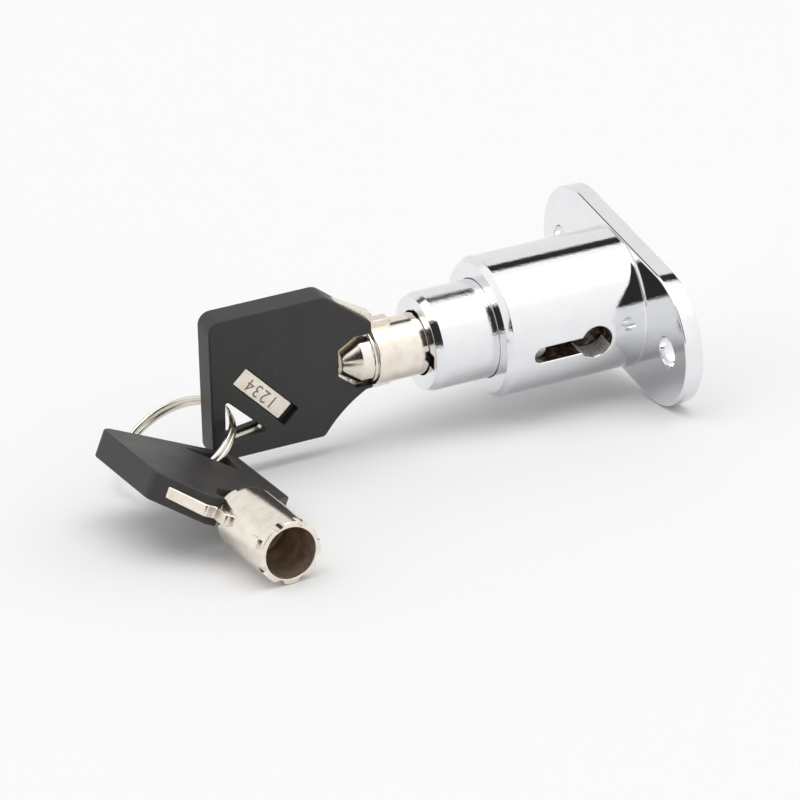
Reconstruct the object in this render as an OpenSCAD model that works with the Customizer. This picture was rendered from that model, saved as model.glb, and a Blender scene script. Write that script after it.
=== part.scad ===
// Push lock for a cabinet or a sliding door, with a tubular key in it and a second key on a split ring.
// The lock's axis runs along Y: the key end faces -Y and the flange's front face lies at y = 0.
// X runs along the flange's long side and Z is up.
// The lock is drawn popped out, with the key in and turned, as it lies on a table.

/* [Housing] */
// Diameter of the barrel that passes through the panel
barrel_d = 22; // [21:0.1:24]
// Length of the barrel in front of the flange
barrel_len = 23.3; // [22:0.1:26]
// Width of the turned chamfer at the barrel's mouth
barrel_chamfer = 0.8; // [0.4:0.1:1.2]
// Radius of the fillet where the barrel meets the flange
barrel_fillet = 0.5; // [0.2:0.1:1]
// Width of the flange across its straight sides
flange_w = 22; // [20:0.5:24]
// Distance between the centres of the flange's rounded ends
flange_span = 25.2; // [24:0.2:28]
// Thickness of the flange
flange_t = 3; // [2:0.25:4]
// Distance between the two screw holes
hole_pitch = 35; // [34:0.5:36]
// Diameter of the screw holes
hole_d = 4.7; // [4:0.1:5]
// Distance from the barrel's mouth to the front end of the guide slot
slot_in = 5.7; // [5.5:0.1:6]
// Diameter of the round hole that the locking pin drops into
release_d = 5.3; // [5.2:0.1:6]
// Width of the guide slot in front of the round hole
slot_w = 2.6; // [2.6:0.05:3]

/* [Plunger] */
// Diameter of the plunger
plunger_d = 15.4; // [15:0.1:16]
// Length of the plunger
plunger_len = 29.7; // [29:0.1:30.5]
// How far the popped plunger stands out of the barrel
plunger_proud = 10.4; // [10:0.1:11]
// Travel of the plunger from popped out to locked
stroke = 9.1; // [8.5:0.1:9.3]
// Width of the plunger's front chamfer, across the face
nose_chamfer = 0.5; // [0.3:0.1:0.8]
// Length of the plunger's front chamfer, along the axis
nose_chamfer_len = 1.2; // [0.6:0.1:1.6]
// Thickness of the plunger's front wall round the key
lip_t = 2.2; // [2:0.1:2.6]
// Diameter of the key opening in the front wall
key_bore_d = 10.1; // [10:0.1:10.6]
// Diameter of the pocket that holds the core
core_d = 12.3; // [12:0.1:12.6]
// Diameter of the bolt behind the plunger
bolt_d = 8; // [7:0.1:8.4]
// How far the popped bolt stops short of the flange's rear face
bolt_inset = 0.3; // [0:0.1:1]
// Diameter of the cross pin that fixes the bolt in the plunger
bolt_pin_d = 2; // [1.5:0.1:2.4]
// Distance from the plunger's rear end to that cross pin
bolt_pin_in = 6.5; // [5:0.1:8]

/* [Locking pin] */
// Diameter of the pin's tip, which rides in the guide slot
pin_tip_d = 2.5; // [2:0.05:2.5]
// Diameter of the pin's shoulder, which locks in the round hole
pin_shoulder_d = 4.9; // [4.6:0.05:5]
// Distance from the lock's axis to the end of the shoulder, drawn in
pin_shoulder_out = 5.9; // [5.5:0.1:6]
// Length of the pin's tip
pin_tip_len = 3.3; // [3:0.1:3.8]
// Distance from the lock's axis to the pin's inner end
pin_tail_out = 3; // [2.9:0.05:3.2]
// How far a turn of the key moves the pin
pin_travel = 1.2; // [1:0.05:1.2]
// Length of the spring behind the pin
pin_spring_len = 2.3; // [2:0.1:2.4]

/* [Return spring] */
// Outer diameter of the return spring
spring_d = 2.9; // [2.6:0.1:3]
// Diameter of the spring wire
wire_d = 0.4; // [0.3:0.05:0.5]
// Length of the spring with the plunger popped out
spring_len = 13.5; // [13:0.1:13.8]
// Number of turns in the spring
spring_turns = 9; // [8:1:10]
// Distance from the lock's axis to the spring's own axis
spring_out = 5.9; // [5.8:0.05:6]
// Distance from the flange's front face to the stop pin
stop_in = 2.5; // [2:0.1:2.6]
// Diameter of the stop pin
stop_d = 2.5; // [2:0.1:2.6]

/* [Core] */
// Thickness of the rotor's disc
rotor_t = 2.5; // [2.4:0.1:2.8]
// Length of the fixed part of the core
stator_len = 3.4; // [3.3:0.1:3.6]
// Diameter of the rotor's spindle
spindle_d = 4; // [3.6:0.1:4.4]
// Diameter of the cam disc
cam_d = 6.2; // [5.8:0.1:6.4]
// Thickness of the cam disc
cam_t = 1.2; // [1:0.1:1.25]
// Distance from the axis to the cam's crank pin
crank_out = 1.3; // [1.25:0.05:1.35]
// Diameter of the cam's crank pin
crank_d = 1.4; // [1.2:0.1:1.4]
// Number of tumbler pins
tumblers = 7; // [5:1:7]
// Distance from the axis to each tumbler pin
tumbler_out = 4.85; // [4.75:0.05:4.85]
// Diameter of the tumbler pins
tumbler_d = 1.2; // [1:0.05:1.2]
// Length of each driver pin
driver_len = 1.6; // [1.4:0.1:1.8]
// Depth of the shallowest cut in the key's tip
cut_min = 0.8; // [0.7:0.05:0.9]
// Step between the cut depths
cut_step = 0.25; // [0.2:0.05:0.3]
// Width of each cut in the key's tip
cut_w = 1.8; // [1.6:0.1:1.8]
// Diameter of the small pin that holds the fixed part of the core
stator_pin_d = 1; // [0.8:0.1:1]

/* [Key] */
// Outer diameter of the key's tube
tube_d = 9.6; // [9.4:0.05:9.7]
// Inner diameter of the key's tube
tube_bore = 7.9; // [7.7:0.05:8]
// Length of the key's tube, from its tip to its shoulder
tube_len = 14; // [13.8:0.1:14.2]
// How deep the tube goes into the plunger
key_depth = 5.8; // [5.8:0.1:6]
// Diameter of the step behind the tube's shoulder
step_d = 8.2; // [8:0.1:8.3]
// Length of that step
step_len = 0.4; // [0.3:0.1:0.5]
// Diameter of the neck behind the step
neck_d = 7.6; // [7.4:0.1:7.7]
// Length of the neck
neck_len = 1.8; // [1.6:0.1:2]
// Length of the neck's tapered end
cone_len = 2.7; // [2.5:0.1:2.8]
// Diameter of the tapered end's small face
cone_d = 3.9; // [3.6:0.1:4.2]
// Height of the retaining lug on the tube's tip
lug_h = 0.45; // [0.3:0.05:0.45]
// Width of the lug
lug_w = 1.6; // [1.2:0.1:1.8]
// Length of the lug
lug_len = 2; // [1.8:0.1:2]
// Distance from the key's tip to the lug
lug_in = 1.3; // [1.2:0.1:1.4]
// Width of the drive rib inside the tube's tip
rib_w = 1; // [0.8:0.1:1.2]
// Length of the drive rib
rib_len = 1.2; // [1:0.1:1.5]
// Distance from the key's tip to the drive rib
rib_in = 1.2; // [1:0.1:1.4]
// Thickness of the key's plate
plate_t = 1.8; // [1.6:0.1:2]
// Height of the plate's upper ridge above the key's axis
ridge_up = 5.85; // [5.7:0.05:6]
// Depth of the plate's lower ridge below the key's axis
ridge_down = 5.4; // [5.2:0.05:5.6]
// Distance from the key's tip to the front of the ridges
ridge_y = 10.3; // [10:0.1:10.6]
// Angle of the key's bow from upright
key_lean = 6; // [0:0.5:10]

/* [Key bow] */
// Thickness of the bow
bow_t = 4.3; // [4:0.1:4.6]
// Length of the bow
bow_len = 26.5; // [26.3:0.1:27]
// Height of the bow above the key's axis
bow_up = 12.5; // [12.2:0.1:13]
// Depth of the bow below the key's axis
bow_down = 11; // [10.9:0.1:11.4]
// Length of the number window
window_len = 12; // [11.8:0.1:12.3]
// Width of the number window
window_w = 3.35; // [3.2:0.05:3.4]
// Distance from the bow's front to the middle of the number window
window_back = 17.7; // [17.5:0.1:17.9]
// Depth of the window's middle below the key's axis
window_low = 1.8; // [1.7:0.1:1.9]
// Slant of the number window
window_turn = -47; // [-48:0.5:-46]
// Height of the raised number field on the plate
field_h = 0.65; // [0.4:0.05:0.8]
// Length of that field
field_len = 10.8; // [10.4:0.1:11]

/* [Ring] */
// Mean radius of the split ring
ring_r = 9; // [8.9:0.1:9.1]
// Diameter of the ring's wire
ring_wire = 0.5; // [0.4:0.05:0.5]
// Distance between the ring's two turns
ring_pitch = 0.95; // [0.95:0.05:1.05]

/* [Hidden] */

$fn = 96;
eps = 0.01;
run_gap = 0.08;
pin_gap = 0.05;
plate_gap = 0.04;

// Places along the lock's axis
mouth_y = -barrel_len;
front_y = mouth_y - plunger_proud;
rear_y = front_y + plunger_len;
lip_y = front_y + lip_t;
tip_y = front_y + key_depth;
shear_y = tip_y + rotor_t;
stator_end_y = shear_y + stator_len;
well_y = stator_end_y + cam_t + 0.2;
pin_y = mouth_y + slot_in;
release_y = pin_y + stroke;
crank_end_y = pin_y + 1.3;
stop_y = -stop_in;
channel_y = stop_y - stop_d / 2 - pin_gap - spring_len;

// Radii
bore_r = plunger_d / 2 + run_gap;
carrier_r = core_d / 2 - pin_gap;
rotor_r = core_d / 2 - run_gap;
post_r = tube_bore / 2 - 0.1;
channel_r = spring_d / 2 + 0.2;
lug_r = tube_d / 2 + lug_h;

// A flat on the plunger's slot side lets the pin's shoulder in
flat_half = release_d / 2;
flat_x = sqrt(pow(plunger_d / 2, 2) - pow(flat_half, 2));

// The key stands a quarter turn and its lean past its way in
lug_angle = 90 + key_lean;
entry_angle = 0;
crank_angle = 87;

// Depth of each cut in the key's tip, as steps of the cut code
cut_code = [1, 3, 0, 2, 3, 1, 2];
function cut_depth(i) = cut_min + cut_step * cut_code[i];
// The tumblers and the key's lug share the circle evenly
function tumbler_angle(i, from) = from + 360 / (tumblers + 1) * (i + 1);

// Distance from the key's tip to the bow's front
bow_front = tube_len + 0.05;

// Depth of the ring's hole behind the bow's front, and the hole's place along the key in the lock
hole_back = bow_len - 2.3;
hole_y = tip_y - bow_front - hole_back;

// Loose key: place of its ring hole and its turn about X, then Y, then Z
loose_hook = [6.541, hole_y - 10.26, -5.628];
loose_turn = [23.2, 62.2, -66.6];

// Split ring: its centre and the tilt of its plane
ring_centre = [-0.86, hole_y - 6.37, -8.5];
ring_tilt = [25.5, -3.9, 0];
ring_start = 290;
ring_lap = 24;
ring_jog = 24;

chrome = [0.78, 0.79, 0.8];
nickel = [0.76, 0.72, 0.66];
brass = [0.72, 0.58, 0.32];
steel = [0.6, 0.61, 0.63];
black_plastic = [0.09, 0.09, 0.1];

// Solids of revolution about Y: profile points are [radius, y]
module turned(profile) {
    rotate([-90, 0, 0]) rotate_extrude() polygon(profile);
}

// A cylinder along Y from y0 to y1
module rod_y(r, y0, y1) {
    translate([0, y0, 0]) rotate([-90, 0, 0]) cylinder(r = r, h = y1 - y0);
}

// A cylinder along X from x0 to x1, at height y on the lock's axis
module rod_x(r, x0, x1, y) {
    translate([x0, y, 0]) rotate([0, 90, 0]) cylinder(r = r, h = x1 - x0);
}

// Turns its children so that what points along +X points at an angle in the XZ plane
module at_angle(a) {
    rotate([0, -a, 0]) children();
}

// Points of an arc, for outlines
function arc(centre, r, a0, a1, steps) =
    [for (i = [0 : steps]) let (a = a0 + (a1 - a0) * i / steps) centre + r * [cos(a), sin(a)]];

// Points that round one corner p between its neighbours a and b
function rounded(a, p, b, r) =
    let (u = (a - p) / norm(a - p), v = (b - p) / norm(b - p), half = acos(u * v) / 2,
         t = r / tan(half), c = p + (u + v) / norm(u + v) * r / sin(half),
         s = p + u * t - c, e = p + v * t - c,
         a0 = atan2(s[1], s[0]), raw = atan2(e[1], e[0]) - a0,
         sweep = raw > 180 ? raw - 360 : raw < -180 ? raw + 360 : raw)
    [for (i = [0 : 6]) c + r * [cos(a0 + sweep * i / 6), sin(a0 + sweep * i / 6)]];

// A closed outline with every corner rounded: each entry is [y, v, radius], radius 0 stays sharp
function rounded_outline(pts) =
    let (n = len(pts))
    [for (i = [0 : n - 1])
        let (p = [pts[i][0], pts[i][1]], a = pts[(i + n - 1) % n], b = pts[(i + 1) % n])
        each pts[i][2] > 0 ? rounded([a[0], a[1]], p, [b[0], b[1]], pts[i][2]) : [p]];

// Extrudes an outline drawn in the key's own [y, v] plane, from n0 to n1 across the key
module across(n0, n1) {
    translate([n0, 0, 0]) rotate([90, 0, 90]) linear_extrude(n1 - n0) children();
}

// Housing: a barrel with a flange, bored through

module barrel_solid() {
    r = barrel_d / 2;
    fillet = arc([r + barrel_fillet, -barrel_fillet], barrel_fillet, 180, 90, 8);
    intersection() {
        turned(concat([[0, flange_t], [0, mouth_y], [r - barrel_chamfer, mouth_y],
                       [r, mouth_y + barrel_chamfer]], fillet, [[r + barrel_fillet, flange_t / 2],
                       [r - 1, flange_t / 2], [r - 1, flange_t]]));
        translate([-barrel_d, mouth_y - 1, -flange_w / 2]) cube([2 * barrel_d, barrel_len + flange_t + 2, flange_w]);
    }
}

module flange_solid() {
    for (side = [-1, 1]) translate([side * flange_span / 2, 0, 0]) rod_y(flange_w / 2, 0, flange_t);
    translate([-flange_span / 2, 0, -flange_w / 2]) cube([flange_span, flange_t, flange_w]);
}

// Keyhole shape through the barrel's wall: guide slot and round hole
module release_cut() {
    reach = barrel_d / 2 + 1;
    rod_x(release_d / 2, 0, reach, release_y);
    rod_x(slot_w / 2, 0, reach, pin_y);
    translate([0, pin_y, -slot_w / 2]) cube([reach, stroke, slot_w]);
}

module housing() {
    color(chrome) difference() {
        union() {
            barrel_solid();
            flange_solid();
        }
        rod_y(bore_r, mouth_y - 1, flange_t + 1);
        release_cut();
        for (side = [-1, 1]) translate([side * hole_pitch / 2, 0, 0]) rod_y(hole_d / 2, -1, flange_t + 1);
        stop_pin_shape(1);
    }
}

// Stop pin: pressed through the underside of the barrel, it carries the return spring
module stop_pin_shape(over) {
    inner = spring_out - sqrt(pow(channel_r, 2) - pow(stop_d / 2, 2)) + run_gap;
    translate([0, stop_y, -barrel_d / 2 - over]) cylinder(d = stop_d, h = barrel_d / 2 + over - inner);
}

module stop_pin() {
    color(steel) stop_pin_shape(-0.1);
}

// Plunger: a shell that holds the core, the locking pin and the bolt

module spring_channel() {
    translate([0, 0, -spring_out]) rod_y(channel_r, channel_y, rear_y + 1);
    translate([-channel_r, channel_y, -plunger_d]) cube([2 * channel_r, rear_y + 1 - channel_y, plunger_d - spring_out]);
}

module bolt_pin_shape(r, half) {
    at_angle(45) translate([-half, rear_y - bolt_pin_in, 0]) rotate([0, 90, 0]) cylinder(r = r, h = 2 * half);
}

module stator_pin_shape(r) {
    translate([-plunger_d / 2 + 0.1, stator_end_y - 0.7, 0]) rotate([0, 90, 0]) cylinder(r = r, h = 1.9);
}

module key_notch(a, w, reach) {
    at_angle(a) translate([0, front_y - 1, -w / 2]) cube([reach, lip_t + 1 + eps, w]);
}

module plunger() {
    r = plunger_d / 2;
    color(chrome) difference() {
        turned([[0, front_y], [r - nose_chamfer, front_y], [r, front_y + nose_chamfer_len],
                [r, rear_y - 1], [r - nose_chamfer, rear_y], [0, rear_y]]);
        rod_y(key_bore_d / 2, front_y - 1, lip_y + eps);
        rod_y(core_d / 2, lip_y, rear_y + 1);
        key_notch(entry_angle, 2.4, 6.4 - eps);
        key_notch(lug_angle, lug_w + 0.3, lug_r + 0.1);
        translate([flat_x, pin_y - flat_half, -r]) cube([r, rear_y + 1 - pin_y + flat_half, 2 * r]);
        rod_x(pin_shoulder_d / 2 + pin_gap, 0, r + 1, pin_y);
        spring_channel();
        bolt_pin_shape(bolt_pin_d / 2, r + 1);
        stator_pin_shape(stator_pin_d / 2);
    }
}

// Bolt: its thick front end fills the plunger and guides the locking pin
module bolt() {
    r = bolt_d / 2;
    end_y = flange_t - bolt_inset;
    color(steel) difference() {
        turned([[0, stator_end_y], [carrier_r, stator_end_y], [carrier_r, rear_y], [r, rear_y],
                [r, end_y - 0.6], [r - 0.6, end_y], [0, end_y]]);
        rod_y(cam_d / 2 + 0.2, stator_end_y - 1, well_y);
        rod_y(crank_out + crank_d / 2 + 0.3, well_y - eps, crank_end_y + 0.2);
        rod_x(pin_shoulder_d / 2 + pin_gap, -pin_tail_out - pin_spring_len, core_d, pin_y);
        spring_channel();
        bolt_pin_shape(bolt_pin_d / 2, plunger_d);
    }
}

module bolt_pin() {
    color(steel) bolt_pin_shape(bolt_pin_d / 2, plunger_d / 2 - 0.2);
}

// Locking pin: stepped, with a side notch that the cam's crank pin pulls on
module locking_pin() {
    crank_x = crank_out * cos(crank_angle);
    notch = crank_d / 2 + 0.45;
    tip_end = pin_shoulder_out + pin_tip_len;
    color(steel) difference() {
        union() {
            rod_x(pin_shoulder_d / 2, -pin_tail_out, pin_shoulder_out, pin_y);
            rod_x(pin_tip_d / 2, pin_shoulder_out - eps, tip_end, pin_y);
        }
        translate([crank_x - notch, pin_y - pin_shoulder_d, -notch])
            cube([2 * notch, pin_shoulder_d + crank_end_y - pin_y + 0.2, pin_shoulder_d + notch]);
    }
}

module locking_pin_spring() {
    x0 = -pin_tail_out - pin_spring_len;
    color(steel) difference() {
        rod_x(1.9, x0, -pin_tail_out, pin_y);
        rod_x(1.5, x0 - 1, 0, pin_y);
    }
}

// Return spring: one unbroken helical tube in the plunger's channel
spring_r = (spring_d - wire_d) / 2;
spring_y0 = channel_y + wire_d / 2 + 0.02;
spring_y1 = stop_y - stop_d / 2 - pin_gap - wire_d / 2;
spring_steps = 8 * spring_turns;
tube_sides = 6;

function helix_point(i) =
    let (t = i / spring_steps, a = 360 * spring_turns * t)
    [spring_r * cos(a), spring_y0 + (spring_y1 - spring_y0) * t, -spring_out + spring_r * sin(a)];
helix_pitch = (spring_y1 - spring_y0) / spring_turns;
helix_slope = atan2(helix_pitch, 2 * PI * spring_r);

function helix_ring(i) =
    let (t = i / spring_steps, a = 360 * spring_turns * t, c = helix_point(i),
         out = [cos(a), 0, sin(a)],
         up = [sin(a) * sin(helix_slope), cos(helix_slope), -cos(a) * sin(helix_slope)])
    [for (k = [0 : tube_sides - 1]) let (b = 360 * k / tube_sides) c + wire_d / 2 * (cos(b) * out + sin(b) * up)];

// Joins rings of points into one closed tube of triangles
module tube_mesh(rings, sides) {
    n = len(rings);
    points = [for (r = rings) each r];
    walls = [for (i = [0 : n - 2], k = [0 : sides - 1])
        let (a = i * sides + k, b = i * sides + (k + 1) % sides, c = a + sides, d = b + sides)
        each [[a, b, d], [a, d, c]]];
    near_cap = [for (k = [1 : sides - 2]) [0, k + 1, k]];
    last = (n - 1) * sides;
    far_cap = [for (k = [1 : sides - 2]) [last, last + k, last + k + 1]];
    polyhedron(points, concat(walls, near_cap, far_cap), convexity = 10);
}

module return_spring() {
    color(steel) tube_mesh([for (i = [0 : spring_steps]) helix_ring(i)], tube_sides);
}

// Core: fixed part, rotor, tumblers and cam

// The rotor's holes turn with the key and meet the fixed holes when it stands at its way in
module tumbler_holes(from, r, y0, y1) {
    for (i = [0 : tumblers - 1]) at_angle(tumbler_angle(i, from)) translate([tumbler_out, 0, 0]) rod_y(r, y0, y1);
}

module stator() {
    color(brass) difference() {
        rod_y(carrier_r, shear_y, stator_end_y);
        rod_y(spindle_d / 2 + pin_gap, shear_y - 1, stator_end_y + 1);
        tumbler_holes(entry_angle, tumbler_d / 2 + 0.03, shear_y - 1, stator_end_y - 0.5);
        stator_pin_shape(stator_pin_d / 2);
    }
}

module stator_pin() {
    color(steel) stator_pin_shape(stator_pin_d / 2);
}

module driver_pins() {
    color(brass) tumbler_holes(entry_angle, tumbler_d / 2, shear_y, shear_y + driver_len);
}

module pin_springs() {
    color(steel) difference() {
        tumbler_holes(entry_angle, tumbler_d / 2 - 0.05, shear_y + driver_len, stator_end_y - 0.5);
        tumbler_holes(entry_angle, tumbler_d / 2 - 0.2, shear_y, stator_end_y);
    }
}

module rotor() {
    stub_y = stator_end_y + cam_t + 0.1;
    rim_r = lug_r + 0.3;
    post_end = front_y + 0.2;
    color(brass) difference() {
        union() {
            turned([[0, post_end], [post_r - 0.4, post_end], [post_r, post_end + 0.4], [post_r, tip_y],
                    [rim_r, tip_y], [rim_r, lip_y + pin_gap], [rotor_r, lip_y + pin_gap],
                    [rotor_r, shear_y], [spindle_d / 2, shear_y], [spindle_d / 2, stator_end_y],
                    [0, stator_end_y]]);
            stub(stator_end_y - eps, stub_y, 0);
        }
        tumbler_holes(lug_angle, tumbler_d / 2 + 0.03, lip_y - 1, shear_y + 1);
        at_angle(lug_angle) translate([post_r - 0.7, post_end - 1, -rib_w / 2 - 0.1])
            cube([0.8, tip_y - post_end + 1.3, rib_w + 0.2]);
    }
}

// Flatted end of the spindle, which carries the cam
module stub(y0, y1, gap) {
    at_angle(lug_angle) intersection() {
        rod_y(1.5 + gap, y0, y1);
        translate([-1.1 - gap, y0 - 1, -2]) cube([2.2 + 2 * gap, y1 - y0 + 2, 4]);
    }
}

module key_pins() {
    color(brass) for (i = [0 : tumblers - 1])
        at_angle(tumbler_angle(i, lug_angle)) translate([tumbler_out, 0, 0])
            rod_y(tumbler_d / 2, tip_y - cut_depth(i), shear_y);
}

module cam() {
    front = stator_end_y + 0.1;
    color(steel) difference() {
        union() {
            rod_y(cam_d / 2, front, front + cam_t);
            at_angle(crank_angle) translate([crank_out, 0, 0]) rod_y(crank_d / 2, front + cam_t - eps, crank_end_y);
        }
        stub(front - 1, front + cam_t, 0.02);
    }
}

// Key, in its own frame: the tip's centre at the origin, the bow toward -Y and the number field facing +X

cone_y = -tube_len - step_len - neck_len;
cut_out = tumbler_out - tumbler_d / 2 - 0.1 + cut_w / 2;

module key_cuts() {
    for (i = [0 : tumblers - 1])
        at_angle(tumbler_angle(i, 90)) translate([cut_out, 0, 0])
            rod_y(cut_w / 2, -cut_depth(i), 1);
}

module key_tube() {
    r = tube_d / 2;
    color(nickel) difference() {
        union() {
            difference() {
                union() {
                    turned([[0, 0], [r - 0.15, 0], [r, -0.15], [r, -tube_len + 0.2], [r - 0.2, -tube_len],
                            [step_d / 2, -tube_len], [step_d / 2, -tube_len - step_len],
                            [neck_d / 2, -tube_len - step_len], [neck_d / 2, cone_y],
                            [cone_d / 2, cone_y - cone_len], [0, cone_y - cone_len]]);
                    at_angle(90) translate([0, -lug_in - lug_len, -lug_w / 2]) cube([lug_r, lug_len, lug_w]);
                }
                rod_y(tube_bore / 2, -ridge_y + 0.3, 1);
            }
            at_angle(90) translate([tube_bore / 2 - 0.6, -rib_in - rib_len, -rib_w / 2]) cube([0.8, rib_len, rib_w]);
        }
        key_cuts();
        across(-plate_t / 2 - plate_gap, plate_t / 2 + plate_gap) polygon(plate_outline(plate_gap));
    }
}

// A point of an outline behind the bow's front, at height v, with its corner's radius
function behind(d, v, r) = [-bow_front - d, v, r];

// Plate outline: two ridges on the tube, a slanted edge along the bow and a tail round the ring's hole
function plate_outline(g) =
    let (front = -ridge_y + g, up = ridge_up + g, down = ridge_down + g, inner = tube_bore / 2 - 1.2 - g,
         slot_up = 4.6 - g, slot_down = 4.05 - g, slot_end = 5.6 - g, tail = bow_len - 0.9 + g)
    rounded_outline([
        [front, up, 0.8], behind(-0.6, up, 0), behind(-0.6, 7.3 + g, 0.6), behind(5.4, 10.8 + g, 0.5),
        behind(9.4, 10 + g, 1), behind(tail - 1.3, 4.6 + g, 1), behind(tail, 2 + g, 1),
        behind(tail, -10 - g, 1), behind(hole_back - 9, -10 - g, 1), behind(9, -8.6 - g, 1),
        behind(3.2, -down, 0), [front, -down, 0.8],
        [front, -inner, 0], behind(0.2, -inner, 0), behind(0.6, -slot_down, 0), behind(2.6, -slot_down, 0),
        behind(slot_end, -1.7 + g, 0), behind(slot_end, 2.9 - g, 0),
        behind(2.8, slot_up, 0), behind(0.6, slot_up, 0), behind(0.2, inner, 0), [front, inner, 0]]);

// Places its children on the number window, with its length along Y
module on_window() {
    translate([0, -bow_front - window_back, -window_low]) rotate([window_turn, 0, 0]) children();
}

module key_plate() {
    color(nickel) {
        across(-plate_t / 2, plate_t / 2) difference() {
            polygon(plate_outline(0));
            polygon(ring_hole(0.3));
        }
        on_window() translate([0, 0.1 - window_len / 2, 0.1 - window_w / 2])
            cube([plate_t / 2 + field_h, field_len, window_w - 0.2]);
    }
}

// Triangular hole for the ring, grown by g
function ring_hole(g) =
    rounded_outline([behind(hole_back + g, -0.9 + 2 * g, 0.3), behind(hole_back - 6.7 - 2 * g, -7.5 - g, 0.4),
                     behind(hole_back + 0.2 + g, -8.5 - g, 0.5)]);

bow_outline = rounded_outline(concat(
    [behind(0, 6.4, 0.3), behind(7.6, bow_up, 2.2), behind(bow_len, bow_up, 2),
     behind(bow_len, -bow_down, 2), behind(8.2, -bow_down, 0.8)],
    [for (p = arc([8.25 - bow_front, -22.2], 19.8, 144, 118, 12)) [p[0], p[1], 0]],
    [behind(0, -4.55, 0.3)]));

tail_window = [[1 - bow_front, 4.6], [-bow_front - 2.8, 4.6], [-bow_front - 5.6, 2.9],
               [-bow_front - 5.6, -1.7], [-bow_front - 2.6, -4.05], [1 - bow_front, -4.05]];

module key_bow() {
    half = bow_t / 2;
    color(black_plastic) difference() {
        across(-half, half) polygon(bow_outline);
        across(-half - 1, half + 1) polygon(tail_window);
        translate([0, 1 - bow_front, 0]) rotate([90, 0, 0])
            cylinder(d = step_d + 2 * plate_gap, h = step_len + 1);
        across(-half - 1, half + 1) polygon(ring_hole(0));
        across(-plate_t / 2 - plate_gap, plate_t / 2 + plate_gap) polygon(plate_outline(plate_gap));
        on_window() translate([0, -window_len / 2, -window_w / 2]) cube([half + 1, window_len, window_w]);
    }
}

module in_lock() {
    translate([0, tip_y, 0]) rotate([0, -key_lean, 0]) children();
}

module on_ring() {
    translate(loose_hook) rotate(loose_turn) translate([0, bow_front + hole_back, 0]) children();
}

module key_a_tube() { in_lock() key_tube(); }
module key_a_plate() { in_lock() key_plate(); }
module key_a_bow() { in_lock() key_bow(); }
module key_b_tube() { on_ring() key_tube(); }
module key_b_plate() { on_ring() key_plate(); }
module key_b_bow() { on_ring() key_bow(); }

// Split ring: one wire wound twice, the turns side by side with a short jog between them

ring_steps = 52;
one_turn = 360;
function ring_angle(i) = ring_lap / 2 + (2 * one_turn - ring_lap) * i / ring_steps;
function ring_side(a) =
    let (t = min(1, max(0, (a - one_turn + ring_jog / 2) / ring_jog))) ring_pitch * (t * t * (3 - 2 * t) - 0.5);
function ring_tube(i) =
    let (a = ring_angle(i), b = a + ring_start, h = ring_side(a), out = [cos(b), sin(b), 0])
    [for (k = [0 : tube_sides - 1]) let (c = 360 * k / tube_sides)
        (ring_r + ring_wire / 2 * cos(c)) * out + [0, 0, h + ring_wire / 2 * sin(c)]];

module split_ring() {
    color(nickel) translate(ring_centre) rotate(ring_tilt)
        tube_mesh([for (i = [0 : ring_steps]) ring_tube(i)], tube_sides);
}

// Least gap of each wound wire to itself
echo(return_spring_gap = helix_pitch * cos(helix_slope) - wire_d);
echo(split_ring_gap = ring_pitch - ring_wire);

housing();
stop_pin();
plunger();
bolt();
bolt_pin();
return_spring();
locking_pin();
locking_pin_spring();
stator();
stator_pin();
driver_pins();
pin_springs();
rotor();
key_pins();
cam();
key_a_tube();
key_a_plate();
key_a_bow();
split_ring();
key_b_tube();
key_b_plate();
key_b_bow();
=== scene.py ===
# %% [markdown]
# # A push lock with tubular keys
# The lock is a chromed casting: an oblong flange with a round barrel, and a plunger that slides in the barrel.
# A key stands in the plunger, and a second key hangs with it on a split ring.
# The CAD solids give every size and every joint. They could be rendered as they are, but their facets would show in
# the chrome, so the pieces that are seen get finer meshes here, and real finishes.

import math

import bmesh
import bpy
from mathutils import Matrix, Vector
from mathutils.geometry import delaunay_2d_cdt


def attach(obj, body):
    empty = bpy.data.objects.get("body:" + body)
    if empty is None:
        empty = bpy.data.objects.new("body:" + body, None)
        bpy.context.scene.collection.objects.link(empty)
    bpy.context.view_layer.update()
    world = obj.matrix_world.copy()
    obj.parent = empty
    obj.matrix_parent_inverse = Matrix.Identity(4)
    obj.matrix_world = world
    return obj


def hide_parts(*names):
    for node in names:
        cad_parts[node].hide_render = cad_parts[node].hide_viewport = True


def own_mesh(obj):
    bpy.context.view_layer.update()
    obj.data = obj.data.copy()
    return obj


MM = 0.001  # shapes are drawn in millimetres, and the frame is in metres
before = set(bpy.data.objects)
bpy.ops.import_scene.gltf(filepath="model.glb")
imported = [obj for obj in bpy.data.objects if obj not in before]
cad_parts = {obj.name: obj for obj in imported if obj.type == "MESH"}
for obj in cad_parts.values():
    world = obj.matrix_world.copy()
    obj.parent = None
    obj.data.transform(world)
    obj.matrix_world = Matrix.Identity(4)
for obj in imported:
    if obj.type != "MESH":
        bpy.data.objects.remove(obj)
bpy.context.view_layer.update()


# %% [markdown]
# ## Shader maths in plain Python
# A material is a graph of nodes, and could be drawn by hand in Blender's node editor. Written out, it is easier to
# read as sums, so this class wraps one socket, and an expression such as 1 - mask adds its Math nodes.

# %% Socket arithmetic


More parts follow.
